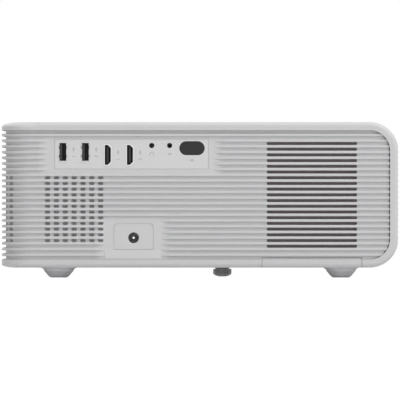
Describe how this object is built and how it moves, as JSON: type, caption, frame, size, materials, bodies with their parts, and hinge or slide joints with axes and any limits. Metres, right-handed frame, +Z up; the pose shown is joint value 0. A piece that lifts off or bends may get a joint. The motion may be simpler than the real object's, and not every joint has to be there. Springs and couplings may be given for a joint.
{
  "type": "projector with disc player",
  "caption": "Home projector with ribbed housing, rear sockets, exhaust louvre, focus ring, keys, turning front foot and a disc tray that slides out of the front",
  "frame": {"origin": "on the table, under the middle of the body", "axes": "+X to the right when looking at the rear with its sockets, +Y the way it projects and the tray slides out, +Z up"},
  "size_m": [0.278, 0.218, 0.109],
  "materials": {
    "shell_plastic": "fine matt moulded plastic",
    "ribbed_plastic": "fine matt moulded plastic",
    "smoked_window": "smoked, lets infrared through",
    "socket_metal": "bright plated sheet",
    "socket_plastic": "black moulded plastic",
    "jack_plastic": "dark grey moulded plastic",
    "circuit_board": "solder-masked board",
    "grille_cloth": "open acoustic mesh",
    "black_plastic": "black moulded plastic",
    "filter_foam": "pleated filter",
    "foot_rubber": "grey rubber",
    "foot_plastic": "grey moulded plastic",
    "insert_brass": "turned",
    "stud_steel": "plain",
    "cooler_aluminium": "extruded",
    "lens_glass": "coated",
    "ring_plastic": "fluted grip",
    "bezel_plastic": "dark grey moulded plastic",
    "sheet_steel": "pressed sheet",
    "tray_plastic": "black moulded plastic",
    "key_plastic": "satin moulded plastic"
  },
  "bodies": {
    "body": {"wrap_shell": "shell_plastic", "ribbed_housing": "ribbed_plastic", "port_plate": "ribbed_plastic", "power_plate": "ribbed_plastic", "ir_window_rear": "smoked_window", "ir_window_front": "smoked_window", "usb_shell_1": "socket_metal", "usb_shell_2": "socket_metal", "usb_tongues": "socket_plastic", "hdmi_shell_1": "socket_metal", "hdmi_shell_2": "socket_metal", "hdmi_tongues": "socket_plastic", "av_jack": "jack_plastic", "phone_jack": "jack_plastic", "dc_jack": "socket_plastic", "dc_pin": "socket_metal", "main_board": "circuit_board", "grille_cloth": "grille_cloth", "speaker_rear": "black_plastic", "speaker_side": "black_plastic", "rear_foot_left": "foot_rubber", "rear_foot_right": "foot_rubber", "adjuster_nut": "insert_brass", "shell_screws": "stud_steel", "fan_frame": "black_plastic", "heatsink": "cooler_aluminium", "led_module": "insert_brass", "lcd_panel": "lens_glass", "optical_housing": "black_plastic", "lens_bezel": "bezel_plastic", "drive_case": "sheet_steel", "control_panel": "bezel_plastic", "key_board": "circuit_board"},
    "drawer": {"filter_drawer": "shell_plastic", "dust_filter": "filter_foam"},
    "foot_stud": {"adjuster_stud": "stud_steel"},
    "foot_wheel": {"adjuster_wheel": "foot_plastic"},
    "fan": {"fan_rotor": "black_plastic"},
    "barrel": {"lens_barrel": "black_plastic", "front_lens": "lens_glass", "rear_lens": "lens_glass"},
    "focus": {"focus_ring": "ring_plastic"},
    "rails": {"rail_left": "sheet_steel", "rail_right": "sheet_steel"},
    "tray": {"disc_tray": "tray_plastic", "tray_bezel": "ribbed_plastic", "sled_plate": "sheet_steel", "spindle_motor": "sheet_steel", "guide_rods": "stud_steel", "sled_motor": "sheet_steel"},
    "eject": {"eject_button": "key_plastic"},
    "spindle": {"spindle_hub": "tray_plastic"},
    "screw": {"lead_screw": "stud_steel"},
    "sled": {"pickup": "black_plastic"},
    "power": {"key_power": "key_plastic"},
    "source": {"key_source": "key_plastic"},
    "menu": {"key_menu": "key_plastic"},
    "play": {"key_play": "key_plastic"},
    "nav": {"nav_ring": "key_plastic"},
    "ok": {"key_ok": "key_plastic"}
  },
  "joints": [
    {"name": "tray_slide", "type": "slide", "parent": "body", "child": "tray", "axis": [0, 1, 0], "range_m": [0, 0.13]},
    {"name": "rail_slide", "type": "slide", "parent": "body", "child": "rails", "axis": [0, 1, 0], "range_m": [0, 0.065]},
    {"name": "eject_press", "type": "slide", "parent": "tray", "child": "eject", "axis": [0, -1, 0], "range_m": [0, 0.0008], "stiffness_N_per_m": 800, "springref_m": -0.0005},
    {"name": "spindle_spin", "type": "hinge", "parent": "tray", "child": "spindle", "pos_m": [-0.062, 0.0424, 0.035], "axis": [0, 0, 1], "continuous": true},
    {"name": "sled_travel", "type": "slide", "parent": "tray", "child": "sled", "axis": [-0.7071, -0.7071, 0], "range_m": [0, 0.0295]},
    {"name": "screw_turn", "type": "hinge", "parent": "tray", "child": "screw", "pos_m": [-0.07346, 0.05386, 0.0341], "axis": [-0.7071, -0.7071, 0], "range_deg": [0, 3540]},
    {"name": "focus_turn", "type": "hinge", "parent": "body", "child": "focus", "pos_m": [0.0785, 0.095, 0.058], "axis": [0, 1, 0], "range_deg": [-60, 60]},
    {"name": "barrel_slide", "type": "slide", "parent": "body", "child": "barrel", "axis": [0, 1, 0], "range_m": [-0.0025, 0.0025]},
    {"name": "fan_spin", "type": "hinge", "parent": "body", "child": "fan", "pos_m": [0.0785, -0.097, 0.058], "axis": [0, 1, 0], "continuous": true},
    {"name": "drawer_pull", "type": "slide", "parent": "body", "child": "drawer", "axis": [0, -1, 0], "range_m": [0, 0.07]},
    {"name": "foot_extend", "type": "slide", "parent": "body", "child": "foot_stud", "axis": [0, 0, -1], "range_m": [0, 0.012]},
    {"name": "foot_turn", "type": "hinge", "parent": "foot_stud", "child": "foot_wheel", "pos_m": [0.016, 0.092, 0.003], "axis": [0, 0, 1], "range_deg": [0, 2881]},
    {"name": "power_press", "type": "slide", "parent": "body", "child": "power", "axis": [0, 0, -1], "range_m": [0, 0.0008], "stiffness_N_per_m": 800, "springref_m": -0.0005},
    {"name": "source_press", "type": "slide", "parent": "body", "child": "source", "axis": [0, 0, -1], "range_m": [0, 0.0008], "stiffness_N_per_m": 800, "springref_m": -0.0005},
    {"name": "menu_press", "type": "slide", "parent": "body", "child": "menu", "axis": [0, 0, -1], "range_m": [0, 0.0008], "stiffness_N_per_m": 800, "springref_m": -0.0005},
    {"name": "play_press", "type": "slide", "parent": "body", "child": "play", "axis": [0, 0, -1], "range_m": [0, 0.0008], "stiffness_N_per_m": 800, "springref_m": -0.0005},
    {"name": "nav_press", "type": "slide", "parent": "body", "child": "nav", "axis": [0, 0, -1], "range_m": [0, 0.0008], "stiffness_N_per_m": 800, "springref_m": -0.0005},
    {"name": "ok_press", "type": "slide", "parent": "body", "child": "ok", "axis": [0, 0, -1], "range_m": [0, 0.0008], "stiffness_N_per_m": 800, "springref_m": -0.0005}
  ],
  "couplings": [
    {"joint": "rail_slide", "follows": "tray_slide", "ratio": 0.5},
    {"joint": "screw_turn", "follows": "sled_travel", "rad_per_m": 2094.4},
    {"joint": "barrel_slide", "follows": "focus_turn", "m_per_rad": 0.0023873},
    {"joint": "foot_turn", "follows": "foot_extend", "rad_per_m": 4188.8}
  ]
}
